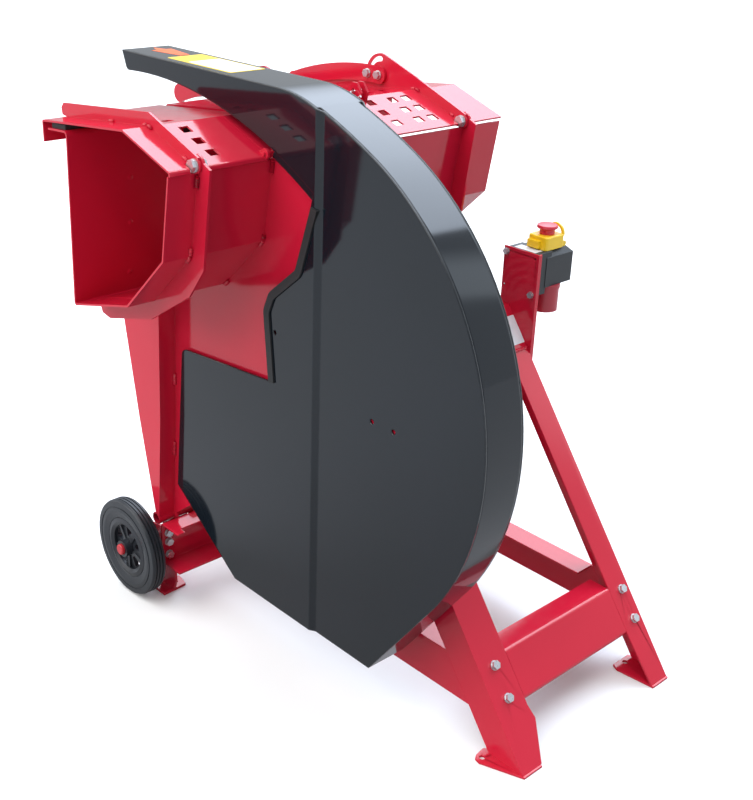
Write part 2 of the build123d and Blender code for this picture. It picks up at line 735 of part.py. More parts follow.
def inner_ear():
    """Carries the handle's inner arm."""
    face = handle_ear() & outline([(-262, 900), (-178, 900), (-178, 990), (-262, 990)])
    face -= handle_holes()
    return plate(face, HANDLE_INNER_X - PLATE - 0.3, HANDLE_INNER_X - 0.3)


def right_cover():
    columns = (-323, -291, -241, -209)
    rows_top = (0.16, 0.34, 0.52)
    solid = cover(-COVER_INNER, TROUGH_RIGHT_END, COLLAR_RIGHT, True, columns, rows_top, -COVER_INNER - 3)
    return solid + inner_ear() + lifting_lug()


LUG_EYE = (-128, 942)


def lifting_lug():
    """A fork of two upright plates with an eye for the hook."""
    points = [(-114, 924.5), (-110, 940), (-121, 955), (-132, 955), (-146, 938), (-148, 926.5), (-127, 928.5)]
    face = outline(points) - disc(*LUG_EYE, 4)
    return [plate(face, x, x + PLATE) for x in (-240, -226)]


def lug_hook():
    """A bent wire hook hanging in the lug."""
    y, z = LUG_EYE[0], LUG_EYE[1] - 1.9
    path = FilletPolyline((-246, y, z), (-214, y, z), (-214, y + 12, z - 12), (-214, y + 26, z - 3), radius=4)
    return sweep(Plane(path @ 0, z_dir=path % 0) * Circle(2), path)


# Handle

def handle_arm(x0):
    """An arched flat bar with round ends."""
    bow = ThreePointArc(HANDLE_PIVOT, (-331, 932), HANDLE_END)
    width = 15
    upper = offset(bow, amount=width, side=Side.LEFT, closed=True)
    lower = offset(bow, amount=width, side=Side.RIGHT, closed=True)
    face = make_face(upper) + make_face(lower) + disc(*HANDLE_PIVOT, width + 1) + disc(*HANDLE_END, width + 1)
    for place in (HANDLE_PIVOT, HANDLE_STOP):
        face -= disc(*place, HANDLE_BOLT_R + 0.02)
    return plate(face, x0, x0 + HANDLE_ARM)


OUTER_ARM_X = COLLAR_RIGHT + PLATE + 0.4


def handle_outer_arm():
    return handle_arm(OUTER_ARM_X)


def handle_inner_arm():
    return handle_arm(HANDLE_INNER_X)


def handle_tube():
    return tube(11, 9, OUTER_ARM_X + HANDLE_ARM, HANDLE_INNER_X, *HANDLE_END)


def handle_bolts():
    bolts = []
    for arm_x, ear_x in ((OUTER_ARM_X, COLLAR_RIGHT), (HANDLE_INNER_X, HANDLE_INNER_X - PLATE - 0.3)):
        for y, z in (HANDLE_PIVOT, HANDLE_STOP):
            face = arm_x + HANDLE_ARM
            bolt = bolt_x(face, y, z, 2 * HANDLE_BOLT_R, face - ear_x + 1, 1)
            nut = plate(hexagon(13, y, z), ear_x - 7.3, ear_x - 0.3)
            bolts.append(bolt + nut)
    return bolts


# Wheels

def wheel_tyre():
    """Solid rubber tyre: rounded shoulders, grooves round the tread and a ridge on each side."""
    x0, x1 = WHEEL_X
    middle = (x0 + x1) / 2
    near = [(58, x0 + 3), (72, x0), (WHEEL_R - 2, x0 + 1), (WHEEL_R, middle - 9)]
    far = [(r, x0 + x1 - x) for r, x in reversed(near)]
    line = FilletPolyline(*near, *far, radius=2.5, close=True)
    section = make_face(line)
    for step in (-6.5, 0, 6.5):
        section -= Pos(WHEEL_R, middle + step) * Rectangle(5, 2.2)
    for side in (x0, x1):
        section -= Pos(80, side) * Rectangle(3, 3)
    return turned(section)


def turned(section):
    """A section drawn in (radius, X) turned about the axle's line."""
    face = Plane((0, WHEEL_Y, WHEEL_Z), x_dir=(0, 1, 0), z_dir=(0, 0, -1)) * section
    return revolve(face, Axis((0, WHEEL_Y, WHEEL_Z), (1, 0, 0)), 360)


def wheel_rim():
    """Moulded wheel centre: bead ring, dished web with five openings, and hub."""
    x0, x1 = WHEEL_X
    middle = (x0 + x1) / 2
    bead = [(44, x0 + 5), (57.98, x0 + 3), (57.98, x1 - 3), (50, x1 - 1), (44, x1 - 5)]
    dish = [(14, middle - 6), (46, middle - 3), (46, middle + 3), (14, middle + 6)]
    sleeve = [(AXLE_R + RUN_FIT, x0), (16, x0), (16, x1 + 6), (AXLE_R + RUN_FIT, x1 + 6)]
    solid = turned(outline(bead)) + turned(outline(dish))
    opening = fillet(outline([(21, 4), (42, 11), (42, -11), (21, -4)]).vertices(), 3)
    for i in range(5):
        window = Pos(WHEEL_Y, WHEEL_Z) * Rot(0, 0, 90 + i * 72) * opening
        solid -= plate(window, x0 - 5, x1 + 5)
    for i in range(5):
        spoke = Pos(WHEEL_Y, WHEEL_Z) * Rot(0, 0, 126 + i * 72) * (Pos(30, 0) * Rectangle(30, 5))
        solid += plate(spoke, middle - 8, middle + 8)
    return solid + turned(outline(sleeve)) - rod(AXLE_R + RUN_FIT, x0 - 1, x1 + 7, WHEEL_Y, WHEEL_Z)


def wheel_cap():
    x0 = WHEEL_X[1] + 6.4
    cap = rod(10.5, x0 - 4, x0 + 6, WHEEL_Y, WHEEL_Z)
    cap = fillet(cap.faces().sort_by(Axis.X)[-1].edges(), 3)
    cap = cap - rod(20, x0 - 5, x0, WHEEL_Y, WHEEL_Z)
    return cap - rod(AXLE_R + 0.02, x0 - 1, AXLE_END + 0.5, WHEEL_Y, WHEEL_Z)


# Switch

BRACKET_X = REAR_LEG_X
BRACKET_Y = (31, 110)
BOX_TOP = 677
LID_X = (-523, -473)
LID_Y = (60, 103)
LID_TOP = 701
BUTTON = (-498, 82)
SCREWS = ((38, 668), (100, 603))


def block(x, y, z):
    """A box between two X, two Y and two Z."""
    middle = [(a + b) / 2 for a, b in (x, y, z)]
    return Pos(*middle) * Box(x[1] - x[0], y[1] - y[0], z[1] - z[0])


def switch_bracket():
    """A plate on the rear leg's web, with a narrow return along one edge."""
    y0, y1 = BRACKET_Y
    face = outline([(y0, 500), (y1 - 20, 468), (y1, 480), (y1, 677), (y0, 677)])
    for y, z in SCREWS:
        face -= disc(y, z, 3.2)
    for y, z in ((102, 668), (37, 606)):
        face -= disc(y, z, 2.2)
    lip = outline([(y1 - SHEET, 484), (y1, 480), (y1, 677), (y1 - SHEET, 677)])
    return plate(face, BRACKET_X - SHEET, BRACKET_X) + plate(lip, BRACKET_X - 9, BRACKET_X - SHEET)


def switch_box():
    """The switch's housing: a deep back with a bevelled top, a base on the bracket and a flat deck."""
    front = BRACKET_X - SHEET
    deep = block((-546, -474), (34, 107), (612, BOX_TOP - 1))
    deep = chamfer(deep.faces().sort_by(Axis.Z)[-1].edges(), 10)
    base = block((-476.4, front), (35, 106), (601, 667))
    deck = block((-534, front), (44, 97), (640, BOX_TOP)) + block((-487, front), (38, 106), (640, BOX_TOP))
    deck = fillet(deck.faces().sort_by(Axis.Z)[-1].edges(), 2)
    bosses = [Pos(front - 10, y, z) * Rot(0, 90, 0) * Cylinder(7, 18) for y, z in ((43, 608), (98, 608))]
    well = Pos(sum(LID_X) / 2, sum(LID_Y) / 2, BOX_TOP) * Box(40, 34, 16)
    guide = Pos(BUTTON[0] - 6, BUTTON[1] - 4, BOX_TOP - 12) * Cylinder(8.3, 24)
    return deep + base + deck + bosses - well - guide


def switch_inlet():
    """Round appliance inlet under the box, open at its lower end."""
    x, y = -503, 86
    shell = Pos(x, y, 583) * Cylinder(24.5, 42) - Pos(x, y, 578) * Cylinder(20.5, 40)
    collar = Pos(x, y, 608) * Cylinder(26, 8)
    pins = Pos(x, y, 586) * Cylinder(15.5, 36)
    for i in range(5):
        pins -= Pos(x + 10 * cos(i * 2 * pi / 5), y + 10 * sin(i * 2 * pi / 5), 568) * Cylinder(2.5, 30)
    return shell + collar + pins


def bracket_screws():
    return [bolt_x(BRACKET_X, y, z, 6, SHEET, 1) for y, z in SCREWS]


def switch_lid():
    """The hinged flap over the switch: thumb latch in front, hinge knuckle behind, hoop beside the button."""
    x0, x1 = LID_X
    y0, y1 = LID_Y
    low = BOX_TOP + 0.6
    shell = block((x0, x1), (y0, y1), (low, LID_TOP))
    shell = fillet(shell.edges().filter_by(Axis.Z), 6)
    shell = fillet(shell.faces().sort_by(Axis.Z)[-1].edges(), 3)
    hollow = block((x0 + 3, x1 - 3), (y0 + 3, y1 - 3), (low - 4, LID_TOP - 4))
    latch = Pos(x1 + 2, (y0 + y1) / 2 - 4, low + 9) * Box(8, 26, 13)
    knuckle = Pos(x0 - 2, (y0 + y1) / 2, low + 5) * Rot(90, 0, 0) * Cylinder(5, 40)
    bore = Pos(BUTTON[0], BUTTON[1], LID_TOP) * Cylinder(13.5, 30)
    ring = disc(84, 700, 18) - disc(84, 700, 13)
    hoop = plate(ring & outline([(84, 700), (110, 696), (110, 722), (72, 722)]), x0, x0 + 4)
    return shell - hollow + latch + knuckle + hoop - bore


def stop_button():
    """The mushroom that knocks the switch off through the flap."""
    x, y = BUTTON
    under, top = LID_TOP - 5, LID_TOP + 18
    line = FilletPolyline((0, under), (13.45, under), (13.45, LID_TOP + 7.5), (19, LID_TOP + 11.5),
                          (17.5, LID_TOP + 16), (0, top), radius=1.2)
    section = make_face([line, Line((0, top), (0, under))])
    return Pos(x, y, 0) * revolve(Plane.XZ * section, Axis.Z, 360)


def start_button():
    x, y = BUTTON[0] - 6, BUTTON[1] - 4
    cap = Pos(x, y, BOX_TOP - 9) * Cylinder(8.25, 14)
    return fillet(cap.faces().sort_by(Axis.Z)[-1].edges(), 1.5)


# Nodes

NODES = {
    "base_beam": base_beam,
    "axle_brackets": axle_brackets,
    "axle": axle,
    "pivot_brackets": pivot_brackets,
    "front_side_beam": lambda: side_beam(FRONT_LEG_X, -1),
    "rear_side_beam": lambda: side_beam(REAR_LEG_X, 1),
    "front_leg": lambda: clear_of_feet(front_leg()),
    "rear_leg": lambda: clear_of_feet(rear_leg()),
    "leg_feet": leg_feet,
    "leg_cross_beam": leg_cross_beam,
    "frame_bolts": frame_bolts,
    "motor_plate": motor_plate,
    "motor_housing": motor_housing,
    "motor_stator": motor_stator,
    "motor_bearings": motor_bearings,
    "motor_fan_cowl": motor_fan_cowl,
    "motor_terminal_box": motor_terminal_box,
    "guard_front_sheet": guard_front_sheet,
    "guard_rear_sheet": guard_rear_sheet,
    "guard_rim": guard_rim,
    "guard_edging": guard_edging,
    "guard_studs": guard_studs,
    "saw_blade": saw_blade,
    "blade_flanges": blade_flanges,
    "arbor_shaft": arbor_shaft,
    "arbor_nut": arbor_nut,
    "motor_rotor": motor_rotor,
    "motor_fan": motor_fan,
    "pivot_tube": pivot_tube,
    "left_post": left_post,
    "right_post": right_post,
    "left_side_plate": left_side_plate,
    "right_side_plate": right_side_plate,
    "left_blade_shield": left_blade_shield,
    "right_blade_shield": right_blade_shield,
    "left_trough": left_trough,
    "right_trough": right_trough,
    "cover_seals": cover_seals,
    "hinge_bolts": hinge_bolts,
    "left_cover": left_cover,
    "right_cover": right_cover,
    "lug_hook": lug_hook,
    "handle_outer_arm": handle_outer_arm,
    "handle_inner_arm": handle_inner_arm,
    "handle_tube": handle_tube,
    "handle_bolts": handle_bolts,
    "left_tyre": wheel_tyre,
    "left_rim": wheel_rim,
    "left_cap": wheel_cap,
    "right_tyre": lambda: mirror_x(wheel_tyre(), BEAM_MIDDLE),
    "right_rim": lambda: mirror_x(wheel_rim(), BEAM_MIDDLE),
    "right_cap": lambda: mirror_x(wheel_cap(), BEAM_MIDDLE),
    "switch_bracket": switch_bracket,
    "switch_box": switch_box,
    "switch_inlet": switch_inlet,
    "bracket_screws": bracket_screws,
    "switch_lid": switch_lid,
    "stop_button": stop_button,
    "start_button": start_button,
}


def solids_of(shape):
    """The separate solids of a piece or of a group of pieces."""
    pieces = shape if isinstance(shape, list) else [shape]
    return [solid for piece in pieces for solid in piece.solids()]


def main():
    """The origin is on the floor, under the middle of the whole machine."""
    os.makedirs("parts", exist_ok=True)
    built = {name: solids_of(make()) for name, make in NODES.items()}
    box = Compound(children=[solid for solids in built.values() for solid in solids]).bounding_box()
    shift = Pos(-box.center().X, -box.center().Y, -box.min.Z)
    print("origin shift", [round(v, 3) for v in (-box.center().X, -box.center().Y, -box.min.Z)])
    for name, solids in built.items():
        moved = [shift * solid for solid in solids]
        export_step(Compound(label=name, children=moved), f"parts/{name}.step")


main()
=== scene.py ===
# %% [markdown]
# A firewood saw. A log lies in the red trough, the trough rocks about a tube low on the frame, and the log
# swings into a blade behind a tall black guard. The parts are already drawn in CAD and packed as a frame,
# so this lesson only dresses them: camera, light, finishes, softened edges and the few thin things that the
# CAD drawing leaves out. Everything is in metres, with the floor at Z = 0.

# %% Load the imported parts
import math

import bmesh
import bpy
from mathutils import Matrix, Vector


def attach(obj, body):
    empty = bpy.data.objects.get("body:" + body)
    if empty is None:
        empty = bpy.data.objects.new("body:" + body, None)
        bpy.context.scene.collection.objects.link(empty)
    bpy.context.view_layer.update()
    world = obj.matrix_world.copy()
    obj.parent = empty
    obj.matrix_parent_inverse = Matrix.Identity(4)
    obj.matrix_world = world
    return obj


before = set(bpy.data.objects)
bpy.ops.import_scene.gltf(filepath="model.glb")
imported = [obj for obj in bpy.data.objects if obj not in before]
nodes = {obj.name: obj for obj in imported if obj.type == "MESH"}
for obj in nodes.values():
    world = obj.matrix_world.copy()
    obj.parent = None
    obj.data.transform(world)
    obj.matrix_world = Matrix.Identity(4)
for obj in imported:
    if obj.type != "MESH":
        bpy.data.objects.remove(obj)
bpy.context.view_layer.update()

# %% [markdown]
# The CAD drawing was laid out in millimetres from the blade: X = 0 is the blade's plane and Y = 0 its arbor.
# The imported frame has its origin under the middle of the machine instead. One small function turns a place
# on the drawing into a place in the scene, so the numbers below can be read straight off the drawing.

# %% From the drawing to the scene
DRAWING_ORIGIN = Vector((0.1630, -0.0085, 0.0))
MM = 0.001
ARBOR_HEIGHT = 542


def on_drawing(x, y, z):
    """A place on the drawing, in millimetres, as a place in the scene."""
    return DRAWING_ORIGIN + Vector((x, y, z)) * MM


ARBOR = on_drawing(0, 0, ARBOR_HEIGHT)
print("arbor at", [round(v, 4) for v in ARBOR])

# %% [markdown]
# The camera stands where the photographer stood. Its place and turn were solved from edges of the machine
# that are parallel in reality, and its lens from how fast they converge. A camera's own axes are the
# columns of its matrix: right, up, and backwards out of the lens.

# %% Camera
CAMERA_RIGHT = Vector((-0.7272, 0.6855, 0.0351))
CAMERA_UP = Vector((-0.2609, -0.3234, 0.9095))
CAMERA_BACK = Vector((0.6349, 0.6523, 0.4140))
CAMERA_PLACE = on_drawing(1137.5, 1350.7, 1300)
LENS, SENSOR = 54.29, 36

camera_data = bpy.data.cameras.new("photo_camera")
camera_data.lens = LENS
camera_data.sensor_width = SENSOR
camera = bpy.data.objects.new("photo_camera", camera_data)
bpy.context.scene.collection.objects.link(camera)
camera_turn = Matrix((CAMERA_RIGHT, CAMERA_UP, CAMERA_BACK)).transposed().to_4x4()
camera.matrix_world = Matrix.Translation(CAMERA_PLACE) @ camera_turn
bpy.context.scene.camera = camera
print("camera", [round(v, 3) for v in camera.location], "lens", camera_data.lens)

# %% [markdown]
# The machine stands on a plain pale studio floor, so wide that it fills the whole picture. A grid shape
# from bmesh is enough. To the camera it is nearly white; to light that bounces off it and to reflections it
# is a mid grey, as a yard would be, so that the glossy paint keeps its depth. A Light Path node tells the
# two apart.

# %% Material helper


def new_material(name):
    """A new material with its node tree and its Principled shader."""
    material = bpy.data.materials.new(name)
    material.use_nodes = True
    tree = material.node_tree
    return material, tree, tree.nodes["Principled BSDF"]


print("material helper ready")

# %% Floor
FLOOR_HALF = 60
FLOOR_BOUNCE, FLOOR_SEEN = 0.41, 0.86
FLOOR_ROUGHNESS = 0.95

floor_mesh = bpy.data.meshes.new("studio_floor")
shape = bmesh.new()
bmesh.ops.create_grid(shape, x_segments=1, y_segments=1, size=FLOOR_HALF)
shape.to_mesh(floor_mesh)
shape.free()
floor = bpy.data.objects.new("studio_floor", floor_mesh)
bpy.context.scene.collection.objects.link(floor)
floor_paint, floor_tree, floor_shader = new_material("studio_floor_paint")
seen_by = floor_tree.nodes.new("ShaderNodeLightPath")
floor_tone = floor_tree.nodes.new("ShaderNodeMapRange")
floor_tone.inputs["To Min"].default_value = FLOOR_BOUNCE
floor_tone.inputs["To Max"].default_value = FLOOR_SEEN
floor_tree.links.new(seen_by.outputs["Is Camera Ray"], floor_tone.inputs["Value"])
floor_tree.links.new(floor_tone.outputs["Result"], floor_shader.inputs["Base Color"])
floor_shader.inputs["Roughness"].default_value = FLOOR_ROUGHNESS
floor_shader.inputs["Specular IOR Level"].default_value = 0.0
floor_mesh.materials.append(floor_paint)
print("floor", 2 * FLOOR_HALF, "m wide")

# %% [markdown]
# Gloss paint shows its surroundings, so the light is one soft sky with a plan, made with a world shader. A
# world does this better than lamps, because it lights the far floor as evenly as the near floor. Two small
# helpers come first: one adds a math node, the other moves a value from one range to another.

# %% Number helpers


def add_math(tree, operation, a, b):
    """A math node on two numbers or sockets."""
    node = tree.nodes.new("ShaderNodeMath")
    node.operation = operation
    for value, socket in ((a, node.inputs[0]), (b, node.inputs[1])):
        if isinstance(value, (int, float)):
            socket.default_value = value
        else:
            tree.links.new(value, socket)
    return node.outputs["Value"]


def add_range(tree, value, low, high, to_low, to_high, soft=False):
    """A value moved from one range to another, with eased ends if soft."""
    node = tree.nodes.new("ShaderNodeMapRange")
    node.interpolation_type = "SMOOTHSTEP" if soft else "LINEAR"
    tree.links.new(value, node.inputs["Value"])
    for label, number in (("From Min", low), ("From Max", high), ("To Min", to_low), ("To Max", to_high)):
        node.inputs[label].default_value = number
    return node.outputs["Result"]


print("number helpers ready")

# %% [markdown]
# The sky is dim all round and a little brighter behind the motor. In a world shader, the Generated
# coordinate is the direction that a ray leaves in, so its X, Y and Z say which part of the sky is looked at.

# %% Dim sky
DIM_COLOUR = (0.94, 1.0, 1.06)
DIM, DIM_BEHIND_MOTOR = 0.45, 0.8

world = bpy.data.worlds.new("studio_sky")
bpy.context.scene.world = world
world.use_nodes = True
sky = world.node_tree
toward = sky.nodes.new("ShaderNodeSeparateXYZ")
sky.links.new(sky.nodes.new("ShaderNodeTexCoord").outputs["Generated"], toward.inputs[0])
dim = sky.nodes["Background"]
dim.inputs["Color"].default_value = (*DIM_COLOUR, 1)
behind_motor = add_range(sky, toward.outputs["X"], -0.3, -0.8, DIM, DIM_BEHIND_MOTOR)
sky.links.new(behind_motor, dim.inputs["Strength"])
print("dim sky", DIM, "to", DIM_BEHIND_MOTOR)

# %% [markdown]
# Bright windows open in the dim sky. A large one behind the motor has a clean edge: it makes the pale band
# along the top of the black rim, the sudden change to dark where the band ends, and the pale glints on the
# covers. A narrow second window beside it gives the rim its lower glint. A wide, low window on the camera's
# side lights the flat faces and the inside of the trough, and a weak one overhead lifts the top faces.

# %% Windows in the sky
WINDOWS = {
    "motor side": ((0.88, 1.0, 1.18), 5.2, [("X", -0.36, -0.50), ("Y", 0.30, 0.27), ("Z", 0.18, 0.72)]),
    "second": ((0.88, 1.0, 1.12), 1.2, [("X", -0.50, -0.60), ("Y", 0.36, 0.47), ("Y", 0.59, 0.55)]),
    "camera side": ((1.0, 0.99, 0.97), 2.8, [("X", 0.0, 0.40), ("Y", 0.55, 0.20), ("Z", 0.05, 0.45)]),
    "overhead": ((0.95, 1.0, 1.08), 1.2, [("Z", 0.82, 0.92)]),
}


def sky_window(name, colour, radiance, edges):
    """A soft-edged bright part of the sky; each edge is (axis, where it starts, where it is full)."""
    light = radiance
    for axis, start, full in edges:
        fade = add_range(sky, toward.outputs[axis], start, full, 0.0, 1.0, soft=True)
        light = add_math(sky, "MULTIPLY", fade, light)
    window = sky.nodes.new("ShaderNodeBackground")
    window.label = name
    window.inputs["Color"].default_value = (*colour, 1)
    sky.links.new(light, window.inputs["Strength"])
    return window


total = dim
for name, (colour, radiance, edges) in WINDOWS.items():
    window = sky_window(name, colour, radiance, edges)
    both = sky.nodes.new("ShaderNodeAddShader")
    sky.links.new(total.outputs[0], both.inputs[0])
    sky.links.new(window.outputs[0], both.inputs[1])
    total = both
print("windows", list(WINDOWS))

# %% [markdown]
# Where the camera looks past the floor it sees a plain white backdrop, as in a studio. A Mix Shader gives
# camera rays the backdrop and all other rays the sky with its windows.

# %% White backdrop
backdrop = sky.nodes.new("ShaderNodeBackground")
backdrop.inputs["Color"].default_value = (1.0, 1.0, 1.0, 1)
straight = sky.nodes.new("ShaderNodeLightPath")
shown = sky.nodes.new("ShaderNodeMixShader")
sky.links.new(straight.outputs["Is Camera Ray"], shown.inputs[0])
sky.links.new(total.outputs[0], shown.inputs[1])
sky.links.new(backdrop.outputs[0], shown.inputs[2])
sky.links.new(shown.outputs[0], sky.nodes["World Output"].inputs["Surface"])
print("sky nodes", len(sky.nodes))

# %% [markdown]
# The view transform turns light into picture tones. Blender's usual one fades strong colours, which would
# take the depth out of the red, so the plain Standard transform is used.

# %% Picture tones
bpy.context.scene.view_settings.view_transform = "Standard"
bpy.context.scene.view_settings.look = "None"
print("view transform", bpy.context.scene.view_settings.view_transform)

# %% [markdown]
# Several finishes share the same small effects, so each effect is a node group with named sockets, built
# once. A group only puts out numbers that vary over the surface; the shader itself stays in the material.
# First a helper that starts a group and gives it its sockets, and one that adds a noise.

# %% Node group helpers


def start_group(name, inputs, outputs):
    """A shader node group; inputs are (name, default), outputs are names of values."""
    group = bpy.data.node_groups.new(name, "ShaderNodeTree")
    for label, default in inputs:
        socket = group.interface.new_socket(label, in_out="INPUT", socket_type="NodeSocketFloat")
        socket.default_value = default
    for label in outputs:
        group.interface.new_socket(label, in_out="OUTPUT", socket_type="NodeSocketFloat")
    return group, group.nodes.new("NodeGroupInput"), group.nodes.new("NodeGroupOutput")


def add_noise(tree, vector, scale, detail=2.0, roughness=0.5):
    """A noise texture; scale is a number or a socket."""
    noise = tree.nodes.new("ShaderNodeTexNoise")
    noise.inputs["Detail"].default_value = detail
    noise.inputs["Roughness"].default_value = roughness
    tree.links.new(vector, noise.inputs["Vector"])
    if isinstance(scale, (int, float)):
        noise.inputs["Scale"].default_value = scale
    else:
        tree.links.new(scale, noise.inputs["Scale"])
    return noise.outputs["Fac"]


print("group helpers ready")

# %% [markdown]
# Powder coat. The powder melts and flows into a skin with a faint ripple, called orange peel, and its tone
# drifts a little over a large sheet. The group gives the ripple as a height and the drift as a number from
# 0 to 1. It also finds faces that look up, where workshop dust settles.

# %% Powder coat group
SPECK_SCALE = 45.0
DUST_FROM, DUST_FULL = 0.75, 0.98

powder, powder_in, powder_out = start_group(
    "powder_coat", [("Peel Scale", 700.0), ("Drift Scale", 5.0)], ["Peel", "Drift", "Dust"])
place = powder.nodes.new("ShaderNodeTexCoord").outputs["Object"]
peel = add_noise(powder, place, powder_in.outputs["Peel Scale"], 1.0)
powder.links.new(peel, powder_out.inputs["Peel"])
drift = add_noise(powder, place, powder_in.outputs["Drift Scale"], 3.0)
powder.links.new(add_range(powder, drift, 0.3, 0.7, 0.0, 1.0), powder_out.inputs["Drift"])
normal_parts = powder.nodes.new("ShaderNodeSeparateXYZ")
powder.links.new(powder.nodes.new("ShaderNodeNewGeometry").outputs["Normal"], normal_parts.inputs[0])
upward = add_range(powder, normal_parts.outputs["Z"], DUST_FROM, DUST_FULL, 0.0, 1.0)
specks = add_range(powder, add_noise(powder, place, SPECK_SCALE, 4.0, 0.7), 0.45, 0.75, 0.0, 1.0)
powder.links.new(add_math(powder, "MULTIPLY", upward, specks), powder_out.inputs["Dust"])
print("group", powder.name, [item.name for item in powder.interface.items_tree])

# %% [markdown]
# Painted edge highlight. Along a sheet's edge the colour is painted lighter: a painted highlight where a
# rounded edge catches the light, which also stands for the thinner coat there. The Bevel node gives the
# normal that a rounded edge would have; where it leans away from the real normal there is an edge. A noise
# breaks the line up, so that it isn't an even outline.

# %% Painted edge highlight group
PATCH_SCALE = 60.0
LEAN_FROM, LEAN_FULL = 0.98, 0.75

edge_highlight, edge_highlight_in, edge_highlight_out = start_group("painted_edge_highlight", [("Width", 0.0012), ("Amount", 1.0)], ["Rub"])
rounded = edge_highlight.nodes.new("ShaderNodeBevel")
rounded.samples = 4
edge_highlight.links.new(edge_highlight_in.outputs["Width"], rounded.inputs["Radius"])
lean = edge_highlight.nodes.new("ShaderNodeVectorMath")
lean.operation = "DOT_PRODUCT"
edge_highlight.links.new(rounded.outputs["Normal"], lean.inputs[0])
edge_highlight.links.new(edge_highlight.nodes.new("ShaderNodeNewGeometry").outputs["Normal"], lean.inputs[1])
edge = add_range(edge_highlight, lean.outputs["Value"], LEAN_FROM, LEAN_FULL, 0.0, 1.0)
edge_highlight_place = edge_highlight.nodes.new("ShaderNodeTexCoord").outputs["Object"]
patches = add_range(edge_highlight, add_noise(edge_highlight, edge_highlight_place, PATCH_SCALE, 3.0, 0.6), 0.4, 0.65, 0.0, 1.0)
broken = add_math(edge_highlight, "MULTIPLY", edge, patches)
edge_highlight.links.new(add_math(edge_highlight, "MULTIPLY", broken, edge_highlight_in.outputs["Amount"]), edge_highlight_out.inputs["Rub"])
print("group", edge_highlight.name)

# %% [markdown]
# Mould grain. Plastic and rubber copy the fine spark-eroded grain of their mould. Two noises of different
# size make it: small pits for the height, and a slow drift for tone and shine.

# %% Mould grain group
grain, grain_in, grain_out = start_group(
    "mould_grain", [("Grain Scale", 1800.0), ("Drift Scale", 30.0)], ["Grain", "Drift"])
grain_place = grain.nodes.new("ShaderNodeTexCoord").outputs["Object"]
pits = add_noise(grain, grain_place, grain_in.outputs["Grain Scale"], 2.0, 0.6)
grain.links.new(pits, grain_out.inputs["Grain"])
slow = add_noise(grain, grain_place, grain_in.outputs["Drift Scale"], 3.0)
grain.links.new(add_range(grain, slow, 0.3, 0.7, 0.0, 1.0), grain_out.inputs["Drift"])
print("group", grain.name)

# %% [markdown]
# Turning marks. A turned or ground face has fine rings about its axis. The group measures how far a point
# is from the arbor's line and lets a noise vary with that distance and along the axis, so the marks run
# round.

# %% Turning marks group
rings, rings_in, rings_out = start_group("turning_marks", [("Ring Scale", 900.0)], ["Rings", "Radius"])
ring_place = rings.nodes.new("ShaderNodeTexCoord").outputs["Object"]
from_arbor = rings.nodes.new("ShaderNodeVectorMath")
from_arbor.operation = "SUBTRACT"
from_arbor.inputs[1].default_value = ARBOR
rings.links.new(ring_place, from_arbor.inputs[0])
ring_parts = rings.nodes.new("ShaderNodeSeparateXYZ")
rings.links.new(from_arbor.outputs["Vector"], ring_parts.inputs[0])
squares = [add_math(rings, "MULTIPLY", ring_parts.outputs[a], ring_parts.outputs[a]) for a in "YZ"]
radius = add_math(rings, "SQRT", add_math(rings, "ADD", *squares), 0.0)
ring_vector = rings.nodes.new("ShaderNodeCombineXYZ")
rings.links.new(radius, ring_vector.inputs["X"])
rings.links.new(ring_parts.outputs["X"], ring_vector.inputs["Y"])
ring_noise = add_noise(rings, ring_vector.outputs["Vector"], rings_in.outputs["Ring Scale"], 3.0, 0.7)
rings.links.new(ring_noise, rings_out.inputs["Rings"])
rings.links.new(radius, rings_out.inputs["Radius"])
print("group", rings.name)

# %% [markdown]
# Now the finishes. Each is a Principled shader with the groups placed in it. A few helpers keep the wiring
# short: one places a group, one finds a colour socket, one mixes two colours by a mask, one adds a bump. A
# Mix node has sockets of the same name for every kind of value, so the colour one is picked by its type.

# %% Finish helpers


def place_group(tree, group, **values):
    """A group in a material, with its own values; gives its outputs."""
    node = tree.nodes.new("ShaderNodeGroup")
    node.node_tree = group
    for label, number in values.items():
        node.inputs[label.replace("_", " ")].default_value = number
    return node.outputs


def colour_socket(sockets, label):
    return next(s for s in sockets if s.name == label and s.type == "RGBA")


def mix_colours(tree, mask, first, second):
    """Two colours, or a colour and a socket, mixed by a mask from 0 to 1."""
    node = tree.nodes.new("ShaderNodeMix")
    node.data_type = "RGBA"
    tree.links.new(mask, node.inputs["Factor"])
    for label, value in (("A", first), ("B", second)):
        socket = colour_socket(node.inputs, label)
        if isinstance(value, tuple):
            socket.default_value = (*value, 1)
        else:
            tree.links.new(value, socket)
    return colour_socket(node.outputs, "Result")


def add_bump(tree, shader, height, distance, bend=0.0):
    """A bump from a height; with bend, sharp folds are also shaded as if bent to this radius."""
    bump = tree.nodes.new("ShaderNodeBump")
    bump.inputs["Distance"].default_value = distance
    tree.links.new(height, bump.inputs["Height"])
    tree.links.new(bump.outputs["Normal"], shader.inputs["Normal"])
    if bend:
        fold = tree.nodes.new("ShaderNodeBevel")
        fold.samples = 8
        fold.inputs["Radius"].default_value = bend
        tree.links.new(fold.outputs["Normal"], bump.inputs["Normal"])


print("finish helpers ready")
